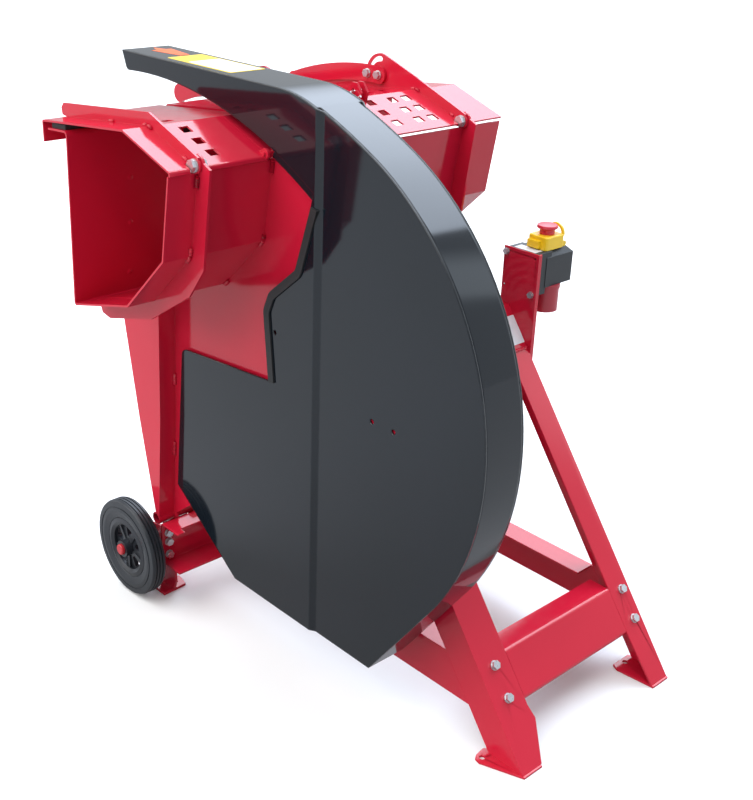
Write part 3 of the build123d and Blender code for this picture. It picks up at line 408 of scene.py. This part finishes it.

# %% [markdown]
# Gloss paint, red and black. The red is the whole rocker and frame; the black is the guard. Both are powder
# coat, so one function makes them: a base colour that drifts, a trace of dust on the upper faces, edges
# painted lighter as a painted highlight that also stands for the thinner coat there, and the orange peel as
# a bump far smaller than a millimetre. The coat is so glossy that the wheel and the covers mirror in the
# guard, so its roughness is low.

# %% Powder coat finishes
COAT_EDGE, SHINE_DRIFT = 0.0011, 0.03
RED, DEEP_RED = (0.58, 0.011, 0.037), (0.54, 0.010, 0.034)
RED_DUST, RED_EDGE_HIGHLIGHT = (0.62, 0.10, 0.10), (0.72, 0.05, 0.07)
BLACK, DEEP_BLACK = (0.006, 0.009, 0.014), (0.005, 0.008, 0.012)
BLACK_DUST, BLACK_EDGE_HIGHLIGHT = (0.05, 0.05, 0.055), (0.16, 0.17, 0.18)
WARM_SHINE = (1.0, 0.96, 0.88, 1)
finishes = {}


def powder_coat(name, colour, deeper, dust, dusty, highlighted, highlight_amount, shine, peel_depth, bend=0.0):
    material, tree, shader = new_material(name)
    coat = place_group(tree, powder)
    edges = place_group(tree, edge_highlight, Width=COAT_EDGE, Amount=highlight_amount)
    tone = mix_colours(tree, coat["Drift"], colour, deeper)
    settled = mix_colours(tree, add_math(tree, "MULTIPLY", coat["Dust"], dusty), tone, dust)
    # Painted highlight: the edge mask lightens the colour along every edge, also standing for the thinner
    # coat there.
    edge_lit = mix_colours(tree, edges["Rub"], settled, highlighted)
    tree.links.new(edge_lit, shader.inputs["Base Color"])
    gloss = add_range(tree, coat["Drift"], 0.0, 1.0, shine, shine + SHINE_DRIFT)
    matt = add_math(tree, "MULTIPLY_ADD", coat["Dust"], dusty)
    tree.links.new(gloss, matt.node.inputs[2])
    tree.links.new(matt, shader.inputs["Roughness"])
    add_bump(tree, shader, coat["Peel"], peel_depth, bend)
    finishes[name] = material
    return shader


for name, shine in (("red_paint", 0.09), ("shield_red", 0.12)):
    warm = powder_coat(name, RED, DEEP_RED, RED_DUST, 0.06, RED_EDGE_HIGHLIGHT, 0.5, shine, 0.00001)
    warm.inputs["Specular Tint"].default_value = WARM_SHINE
powder_coat("black_paint", BLACK, DEEP_BLACK, BLACK_DUST, 0.02, BLACK_EDGE_HIGHLIGHT, 0.45, 0.06, 0.000006, bend=0.004)
print("powder coats", sorted(finishes))

# %% [markdown]
# Plated steel. Bolts are bright zinc: a metal with a faint mottled bloom. A metal's colour is its
# reflection, so Metallic is high and the roughness does the work.

# %% Zinc
ZINC_METAL = 0.9


def zinc_plated(name):
    material, tree, shader = new_material(name)
    bloom = place_group(tree, grain, Grain_Scale=900.0, Drift_Scale=180.0)
    edges = place_group(tree, edge_highlight, Width=0.0008, Amount=0.6)
    plated = mix_colours(tree, bloom["Drift"], (0.68, 0.69, 0.71), (0.56, 0.57, 0.60))
    # Painted highlight: the edges are painted a lighter zinc.
    bright = mix_colours(tree, edges["Rub"], plated, (0.82, 0.82, 0.82))
    tree.links.new(bright, shader.inputs["Base Color"])
    dull = add_range(tree, bloom["Drift"], 0.0, 1.0, 0.24, 0.38)
    tree.links.new(dull, shader.inputs["Roughness"])
    shader.inputs["Metallic"].default_value = ZINC_METAL
    add_bump(tree, shader, bloom["Grain"], 0.00003)
    return material, tree, shader, bright


finishes["zinc_steel"] = zinc_plated("zinc_steel")[0]
print("finish", finishes["zinc_steel"].name)

# %% [markdown]
# The covers turn on two bolts each: a bright one at the collar, and a short pin near the blade that was
# painted over with the plates around it. One CAD part holds them all, so its finish changes from zinc to
# red by place: everything within 62 mm of the blade's plane is painted.

# %% Zinc bolts with painted pins
PAINTED_WITHIN = 0.062

pins, pins_tree, pins_shader, pins_bright = zinc_plated("hinge_zinc")
pins_place = pins_tree.nodes.new("ShaderNodeSeparateXYZ")
pins_tree.links.new(pins_tree.nodes.new("ShaderNodeTexCoord").outputs["Object"], pins_place.inputs[0])
across = add_math(pins_tree, "SUBTRACT", pins_place.outputs["X"], ARBOR.x)
from_blade = add_math(pins_tree, "ABSOLUTE", across, 0.0)
painted = add_math(pins_tree, "LESS_THAN", from_blade, PAINTED_WITHIN)
pins_tree.links.new(mix_colours(pins_tree, painted, pins_bright, RED), pins_shader.inputs["Base Color"])
bare_metal = add_range(pins_tree, painted, 0.0, 1.0, ZINC_METAL, 0.0)
pins_tree.links.new(bare_metal, pins_shader.inputs["Metallic"])
print("finish", pins.name)

# %% [markdown]
# Bare steel. The blade and the turned pieces carry ring marks about the arbor, which the turning marks
# group gives. The blade also darkens slightly towards its rim, where it is hardened, so its colour is mixed
# once more by the distance from the arbor.

# %% Ground and turned steel
HARDENED_FROM, BLADE_RADIUS = 0.31, 0.35


def ring_marked(name, bright, dark, ring_scale, shine):
    material, tree, shader = new_material(name)
    marks = place_group(tree, rings, Ring_Scale=ring_scale)
    tree.links.new(mix_colours(tree, marks["Rings"], bright, dark), shader.inputs["Base Color"])
    dull = add_range(tree, marks["Rings"], 0.2, 0.8, shine, shine + 0.16)
    tree.links.new(dull, shader.inputs["Roughness"])
    shader.inputs["Metallic"].default_value = 1.0
    add_bump(tree, shader, marks["Rings"], 0.00003)
    finishes[name] = material
    return tree, shader, marks


ring_marked("turned_steel", (0.60, 0.60, 0.60), (0.40, 0.40, 0.42), 1400.0, 0.26)
blade_tree, blade_shader, blade_marks = ring_marked(
    "blade_steel", (0.62, 0.62, 0.63), (0.47, 0.48, 0.50), 700.0, 0.22)
hardened = add_range(blade_tree, blade_marks["Radius"], HARDENED_FROM, BLADE_RADIUS, 0.0, 0.55)
ground_colour = blade_shader.inputs["Base Color"].links[0].from_socket
darkened = mix_colours(blade_tree, hardened, ground_colour, (0.30, 0.29, 0.30))
blade_tree.links.new(darkened, blade_shader.inputs["Base Color"])
print("finishes", [n for n in finishes if "steel" in n])

# %% [markdown]
# Castings, plastics and rubber. All of them came out of a mould, so one function serves: a colour that
# drifts, a grain bump, and edges painted lighter as a painted highlight. The motor's casting is a metal with
# a coarse sand grain; the edging rubber is the roughest; the red and yellow switch plastics are smooth and
# have a clear shine.

# %% Moulded finishes
SMOOTH_SHINE = 0.15


def moulded(name, colour, second, grain_scale, depth, shine, metallic=0.0):
    material, tree, shader = new_material(name)
    skin = place_group(tree, grain, Grain_Scale=grain_scale)
    edges = place_group(tree, edge_highlight, Width=0.0012, Amount=0.55)
    tone = mix_colours(tree, skin["Drift"], colour, second)
    # Painted highlight: the edges are painted half again as light as the moulding.
    lighter = tuple(min(1.0, c * 1.5 + 0.01) for c in colour)
    tree.links.new(mix_colours(tree, edges["Rub"], tone, lighter), shader.inputs["Base Color"])
    dull = add_range(tree, skin["Drift"], 0.0, 1.0, shine, shine + 0.1)
    tree.links.new(dull, shader.inputs["Roughness"])
    shader.inputs["Metallic"].default_value = metallic
    add_bump(tree, shader, skin["Grain"], depth)
    finishes[name] = material
    return shader


moulded("motor_alloy", (0.30, 0.31, 0.32), (0.24, 0.25, 0.26), 700.0, 0.0002, 0.42, 0.6)
moulded("cowl_grey", (0.17, 0.17, 0.18), (0.14, 0.14, 0.15), 900.0, 0.00005, 0.36)
moulded("fan_plastic", (0.035, 0.035, 0.038), (0.028, 0.028, 0.03), 1500.0, 0.00008, 0.45)
moulded("edging_rubber", (0.010, 0.010, 0.011), (0.016, 0.016, 0.017), 1600.0, 0.0001, 0.55)
moulded("tyre_rubber", (0.012, 0.015, 0.020), (0.019, 0.022, 0.028), 1100.0, 0.00012, 0.36)
moulded("wheel_plastic", (0.012, 0.014, 0.019), (0.018, 0.020, 0.026), 1500.0, 0.00005, 0.30)
moulded("switch_black", (0.020, 0.023, 0.027), (0.026, 0.029, 0.033), 1700.0, 0.0001, 0.42)
for name, colour in {
    "cap_red": (0.50, 0.012, 0.022),
    "lid_yellow": (0.95, 0.62, 0.015),
    "button_red": (0.66, 0.03, 0.055),
    "inlet_red": (0.42, 0.022, 0.04),
    "button_green": (0.02, 0.30, 0.06),
}.items():
    deeper = tuple(c * 0.9 for c in colour)
    gloss = moulded(name, colour, deeper, 1600.0, 0.00003, 0.3)
    gloss.inputs["Coat Weight"].default_value = SMOOTH_SHINE
print("finishes", len(finishes))

# %% [markdown]
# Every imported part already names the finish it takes: its one material slot carries the slot's name from
# the record. Putting the new finish in that slot dresses the part without touching its shape. Blender adds
# a number such as .001 to a name that is taken, so only what stands before the dot is looked at.

# %% Dress the parts


def plain_name(material):
    return material.name.split(".")[0]


for part in nodes.values():
    for index, old in enumerate(part.data.materials):
        part.data.materials[index] = finishes[plain_name(old)]
nodes["hinge_bolts"].data.materials[0] = pins
print("dressed", len(nodes))

# %% [markdown]
# A laser-cut sheet edge is never razor sharp: deburring and paint round it to about half a millimetre, and
# that thin rounding is what catches the light. The CAD mesh comes as loose patches, so a Weld modifier
# joins them first, then a Bevel modifier rounds only the sharp edges, and a Weighted Normal modifier keeps
# the flat faces flat. Modifiers leave the CAD mesh itself alone.

# %% Soften the edges
EDGE_ROUND = {
    "red_paint": 0.0008, "shield_red": 0.0006, "black_paint": 0.0007, "zinc_steel": 0.0005,
    "hinge_zinc": 0.0005, "motor_alloy": 0.0006, "cowl_grey": 0.0005, "fan_plastic": 0.0006,
    "edging_rubber": 0.0012, "switch_black": 0.0024, "inlet_red": 0.0006, "wheel_plastic": 0.0008,
    "turned_steel": 0.0004, "lid_yellow": 0.0006,
}
JOIN_WITHIN, SHARP_FROM = 0.00001, math.radians(40)


def soften(part, width):
    """Rounds a part's sharp edges to this width."""
    joined = part.modifiers.new("join_patches", "WELD")
    joined.merge_threshold = JOIN_WITHIN
    bevel = part.modifiers.new("round_edges", "BEVEL")
    bevel.width = width
    bevel.segments = 2
    bevel.limit_method = "ANGLE"
    bevel.angle_limit = SHARP_FROM
    bevel.use_clamp_overlap = True
    flat = part.modifiers.new("keep_flat", "WEIGHTED_NORMAL")
    flat.keep_sharp = True


softened = 0
for part in nodes.values():
    width = EDGE_ROUND.get(plain_name(part.data.materials[0]))
    if width:
        soften(part, width)
        softened += 1
print("softened", softened)

# %% [markdown]
# The thin things that follow all end the same way: a bmesh becomes an object with a finish and rides on a
# body of the machine. A foil starts as a flat polygon from a few corner points; its corners are rounded
# with a vertex bevel and the face is extruded to its thickness, a quarter of a millimetre.

# %% Piece and foil helpers
FOIL = 0.25 * MM


def finished(name, shape, finish, body, smooth=False):
    """Closes a bmesh into an object of this finish that rides on a body."""
    bmesh.ops.recalc_face_normals(shape, faces=shape.faces[:])
    for face in shape.faces:
        face.smooth = smooth
    mesh = bpy.data.meshes.new(name)
    shape.to_mesh(mesh)
    shape.free()
    mesh.materials.append(finish)
    piece = bpy.data.objects.new(name, mesh)
    bpy.context.scene.collection.objects.link(piece)
    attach(piece, body)
    return piece


def flat_foil(name, corners, up, finish, body, round_by=0.0, thick=FOIL):
    """A thin plate over the flat polygon, raised along up."""
    shape = bmesh.new()
    rim = [shape.verts.new(c) for c in corners]
    bmesh.ops.contextual_create(shape, geom=rim)
    if round_by:
        bmesh.ops.bevel(shape, geom=shape.verts[:], offset=round_by, affect="VERTICES", segments=4,
                        profile=0.5, material=-1)
    raised = bmesh.ops.extrude_face_region(shape, geom=shape.faces[:], use_keep_orig=True)
    lifted = [v for v in raised["geom"] if isinstance(v, bmesh.types.BMVert)]
    bmesh.ops.translate(shape, vec=up * thick, verts=lifted)
    return finished(name, shape, finish, body)


def rectangle(place, first, second):
    """Four corners in order; place turns a value of each pair into a point."""
    return [place(first[i], second[j]) for i, j in ((0, 0), (1, 0), (1, 1), (0, 1))]


print("foil", round(FOIL / MM, 2), "mm thick")

# %% [markdown]
# Printed foil has nearly even ink with a slight mottle, and a soft, weak shine. The mould grain group gives
# both, with a finer drift than on plastic.

# %% Printed finishes
FOIL_SHINE, FOIL_ROUGHNESS = 0.2, 0.32


def printed(name, colour, second):
    material, tree, shader = new_material(name)
    ink = place_group(tree, grain, Grain_Scale=1200.0, Drift_Scale=60.0)
    tree.links.new(mix_colours(tree, ink["Drift"], colour, second), shader.inputs["Base Color"])
    dull = add_range(tree, ink["Drift"], 0.0, 1.0, FOIL_ROUGHNESS, FOIL_ROUGHNESS + 0.08)
    tree.links.new(dull, shader.inputs["Roughness"])
    add_bump(tree, shader, ink["Grain"], 0.00001)
    shader.inputs["Specular IOR Level"].default_value = FOIL_SHINE
    return material


foil_white = printed("foil_white", (0.80, 0.81, 0.84), (0.72, 0.74, 0.78))
foil_yellow = printed("foil_yellow", (0.85, 0.60, 0.02), (0.80, 0.55, 0.015))
foil_orange = printed("foil_orange", (0.85, 0.13, 0.012), (0.78, 0.11, 0.01))
print("inks", foil_white.name, foil_yellow.name, foil_orange.name)

# %% [markdown]
# The guard's nose carries a plain arrow for the blade's turning direction. Seven corners on the flat top of
# the nose outline it: the tip, the two ends of the head, and the shaft.

# %% Turning arrow on the nose
NOSE_TOP = 992
UP = Vector((0, 0, 1))
ARROW_X, TIP_Y, NECK_Y, TAIL_Y = -9, -386, -363, -296
HEAD_HALF, SHAFT_HALF = 19, 9


def on_nose(x, y):
    return on_drawing(x, y, NOSE_TOP)


arrow = flat_foil("turning_arrow", [
    on_nose(ARROW_X, TIP_Y),
    on_nose(ARROW_X + HEAD_HALF, NECK_Y),
    on_nose(ARROW_X + SHAFT_HALF, NECK_Y),
    on_nose(ARROW_X + SHAFT_HALF, TAIL_Y),
    on_nose(ARROW_X - SHAFT_HALF, TAIL_Y),
    on_nose(ARROW_X - SHAFT_HALF, NECK_Y),
    on_nose(ARROW_X - HEAD_HALF, NECK_Y),
], UP, foil_orange, "frame")
print(arrow.name, TAIL_Y - TIP_Y, "mm long")

# %% [markdown]
# Behind the arrow lies a blank printed plate: a yellow foil with a white panel on it. The panel starts one
# foil higher, so the two never share a face.

# %% Blank plate on the nose
PLATE_X, PLATE_Y, PLATE_ROUND = (-37, 30), (-290, -125), 3 * MM
PANEL_X, PANEL_Y, PANEL_ROUND = (-33, 26), (-238, -129), 1.5 * MM

plate_corners = rectangle(on_nose, PLATE_X, PLATE_Y)
nose_plate = flat_foil("nose_plate", plate_corners, UP, foil_yellow, "frame", PLATE_ROUND)
panel_corners = [corner + UP * FOIL for corner in rectangle(on_nose, PANEL_X, PANEL_Y)]
panel = flat_foil("nose_plate_panel", panel_corners, UP, foil_white, "frame", PANEL_ROUND)
print("nose foils", nose_plate.name, panel.name)

# %% [markdown]
# Two more blank plates: one on the sloped face of the rear leg, one on the switch's deck. They lie flat on
# what carries them, so the first one's corners follow the leg's slope.

# %% Blank plates on the leg and the switch
LEG_FOOT_Y, LEG_LEAN = 480, 0.7474
LEG_NORMAL = Vector((0, 1, LEG_LEAN)).normalized()
SWITCH_DECK = 677


def on_leg(x, z):
    return on_drawing(x, LEG_FOOT_Y - LEG_LEAN * z, z)


def on_deck(x, y):
    return on_drawing(x, y, SWITCH_DECK)


leg_corners = rectangle(on_leg, (-446, -411), (513.6, 556))
leg_plate = flat_foil("leg_plate", leg_corners, LEG_NORMAL, foil_white, "frame", 2 * MM)
deck_corners = rectangle(on_deck, (-472, -452), (49, 97))
switch_plate = flat_foil("switch_plate", deck_corners, UP, foil_white, "frame", 1 * MM)
print("plates", leg_plate.name, switch_plate.name)

# %% [markdown]
# Behind the blade's slot the rocker is closed by a strip of rubber, two millimetres thick. It shows dark
# through the highest window of the left cover. It is made as the foils are, only thicker, and it lies on
# the back of the wall on both sides of the slot.

# %% Rubber strip behind the slot
STRIP_HALF, STRIP_THICK = 14, 2 * MM
STRIP_LOW, STRIP_TOP = (-289.6, 774), (-285.2, 907)


def on_wall(x, edge):
    return on_drawing(x, *edge)


strip_line = Vector((0, STRIP_TOP[0] - STRIP_LOW[0], STRIP_TOP[1] - STRIP_LOW[1])).normalized()
strip_back = Vector((1, 0, 0)).cross(strip_line)
strip_corners = rectangle(on_wall, (-STRIP_HALF, STRIP_HALF), (STRIP_LOW, STRIP_TOP))
strip = flat_foil("slot_strip", strip_corners, strip_back, finishes["edging_rubber"], "rocker",
                  2 * MM, STRIP_THICK)
print(strip.name, "faces back", [round(v, 2) for v in strip_back])

# %% [markdown]
# Where the posts stand on the rocker's tube, a short plate hangs below the tube and closes the gap behind
# the base beam. It stays within 29 mm of the pivot, so it clears the beam over the whole swing.

# %% Toe plates under the rocker's tube
TOE_FACE, TOE_LOW, TOE_TOP = -326.5, 134.5, 154
TOE_BACK, TOE_THICK = Vector((0, -1, 0)), 3.5 * MM


def on_toe(x, z):
    return on_drawing(x, TOE_FACE, z)


for name, toe_x in (("left_toe", (-4, 50)), ("right_toe", (-341, -302))):
    toe_corners = rectangle(on_toe, toe_x, (TOE_LOW, TOE_TOP))
    toe = flat_foil(name, toe_corners, TOE_BACK, finishes["red_paint"], "rocker", 2 * MM, TOE_THICK)
    print(toe.name, toe_x[1] - toe_x[0], "mm wide")

# %% [markdown]
# Under its nose the guard's front sheet reaches a little lower, down to the arc that the rocker's side plate
# swings on. The lip is a slim rectangle spun about the rocker's pivot, so it follows that arc exactly and
# the side plate never touches it.

# %% Lip under the nose
PIVOT_Y, PIVOT_Z = -318, 160
LIP_X, LIP_R, LIP_FROM, LIP_TO = (41, 44.7), (794, 806), 59.8, 67.0
LIP_STEPS = 8


def at_lip_start(x, radius):
    angle = math.radians(LIP_FROM)
    return on_drawing(x, PIVOT_Y + radius * math.cos(angle), PIVOT_Z + radius * math.sin(angle))


lip = bmesh.new()
lip_corners = [lip.verts.new(c) for c in rectangle(at_lip_start, LIP_X, LIP_R)]
lip_start = bmesh.ops.contextual_create(lip, geom=lip_corners)["faces"]
bmesh.ops.spin(lip, geom=lip_start, cent=on_drawing(0, PIVOT_Y, PIVOT_Z), axis=(1, 0, 0),
               angle=math.radians(LIP_TO - LIP_FROM), steps=LIP_STEPS)
nose_lip = finished("nose_lip", lip, finishes["black_paint"], "frame")
print("lip faces", len(nose_lip.data.polygons))

# %% [markdown]
# Welds. The collars, the side plates and the posts are joined by short stitches, painted over with the rest.
# A stitch is a row of ripples, one for each drop of metal. A small ring is extruded along the seam in short
# steps; every second ring is drawn in, and both ends taper off. One bmesh holds all stitches of a body.

# %% Weld helpers
BEAD_RADIUS, RIPPLE = 3.6 * MM, 3.2 * MM
BEAD_END, BEAD_NECK = 0.45, 0.78


def weld(shape, start, end):
    """A rippled bead between two points of a seam."""
    run = end - start
    ripples = max(3, round(run.length / RIPPLE))
    step = run / (2 * ripples)
    facing = run.to_track_quat("Z", "Y").to_matrix().to_4x4()
    ring = bmesh.ops.create_circle(shape, cap_ends=True, segments=10, radius=BEAD_RADIUS * BEAD_END,
                                   matrix=Matrix.Translation(start) @ facing)
    cap = ring["verts"][0].link_faces[0]
    width = BEAD_END
    for i in range(1, 2 * ripples + 1):
        wanted = BEAD_END if i == 2 * ripples else (1.0 if i % 2 else BEAD_NECK)
        grown = bmesh.ops.extrude_face_region(shape, geom=[cap])["geom"]
        cap = next(g for g in grown if isinstance(g, bmesh.types.BMFace))
        bmesh.ops.translate(shape, vec=step, verts=cap.verts[:])
        middle = Matrix.Translation(-cap.calc_center_median())
        bmesh.ops.scale(shape, vec=Vector((1, 1, 1)) * (wanted / width), space=middle, verts=cap.verts[:])
        width = wanted


def welds(name, body, seams):
    """All stitches of one body; each seam is two points."""
    shape = bmesh.new()
    for start, end in seams:
        weld(shape, start, end)
    piece = finished(name, shape, finishes["red_paint"], body, smooth=True)
    print(name, len(seams), "stitches", len(piece.data.polygons), "faces")


def at_x(x, *seams):
    """Seams at one X; each is two places in (Y, Z)."""
    return [(on_drawing(x, *start), on_drawing(x, *end)) for start, end in seams]


print("bead", round(2 * BEAD_RADIUS / MM, 1), "mm wide")

# %% [markdown]
# Most stitches lie at four places along X: where the trough meets its collar, where it meets the side
# plate, and at the ear of each cover. The seams follow the folds there, so a stitch never bridges a bend.

# %% Stitches on the rocker and the covers
COLLAR_SEAM, PLATE_SEAM, LEFT_EAR, RIGHT_EAR = 174, 40, 177, -365

collar_seams = at_x(
    COLLAR_SEAM,
    ((-12.2, 881), (-15.6, 861)),
    ((-33.0, 771.8), (-35.6, 758.5)),
    ((-36.0, 757.3), (-45.4, 746.9)),
)
plate_seams = at_x(
    PLATE_SEAM,
    ((-11.6, 888), (-15.6, 864)),
    ((-33.5, 769), (-35.6, 758.5)),
    ((-36.0, 757.3), (-44.5, 748)),
    ((-126, 669.5), (-136, 659.9)),
    ((-285.9, 455), (-286.9, 432)),
    ((-293.9, 318), (-296.2, 290)),
)
welds("trough_welds", "rocker", collar_seams + plate_seams)
welds("left_cover_welds", "left_lid", at_x(
    LEFT_EAR,
    ((-229, 920.0), (-218, 921.2)),
    ((-137, 929.9), (-128, 930.9)),
    ((-126.5, 930.8), (-117, 927.8)),
    ((-41, 902.4), (-31, 899.1)),
))
welds("right_cover_welds", "right_lid", at_x(
    RIGHT_EAR,
    ((-137, 929.9), (-128, 930.9)),
    ((-126.5, 930.8), (-117, 927.8)),
    ((-43, 903.0), (-34, 900.0)),
))

# %% [markdown]
# One more bead runs across the rear leg below its plate, at the foot of the switch bracket. It lies on the
# leg's slope, so both its ends come from the same helper as the plate's corners.

# %% Seam across the rear leg
LEG_SEAM_X, LEG_SEAM_Z = (-409, -449), 505.5

welds("leg_seam", "frame", [tuple(on_leg(x, LEG_SEAM_Z) for x in LEG_SEAM_X)])

# %% [markdown]
# Inside the left trough three low bumps stand on the back wall, as plug welds leave them. Each starts as a
# filled circle, which is inset and raised twice into a shallow dome.

# %% Plug welds
PLUG_PLACES = (111, -285.0, 814), (113, -287.7, 740.5), (117.5, -290.8, 656)
PLUG_RADIUS = 5 * MM
PLUG_RISES = (1.2 * MM, 0.6 * MM), (1.6 * MM, 0.35 * MM)

plugs = bmesh.new()
for plug in PLUG_PLACES:
    upright = Matrix.Translation(on_drawing(*plug)) @ Matrix.Rotation(math.radians(-90), 4, "X")
    ring = bmesh.ops.create_circle(plugs, cap_ends=True, segments=16, radius=PLUG_RADIUS, matrix=upright)
    top = [ring["verts"][0].link_faces[0]]
    for inward, rise in PLUG_RISES:
        bmesh.ops.inset_region(plugs, faces=top, thickness=inward, depth=0.0, use_boundary=True)
        bmesh.ops.translate(plugs, vec=Vector((0, rise, 0)), verts=top[0].verts[:])
plug_welds = finished("trough_plug_welds", plugs, finishes["red_paint"], "rocker", smooth=True)
print("plug welds", len(plug_welds.data.polygons), "faces")
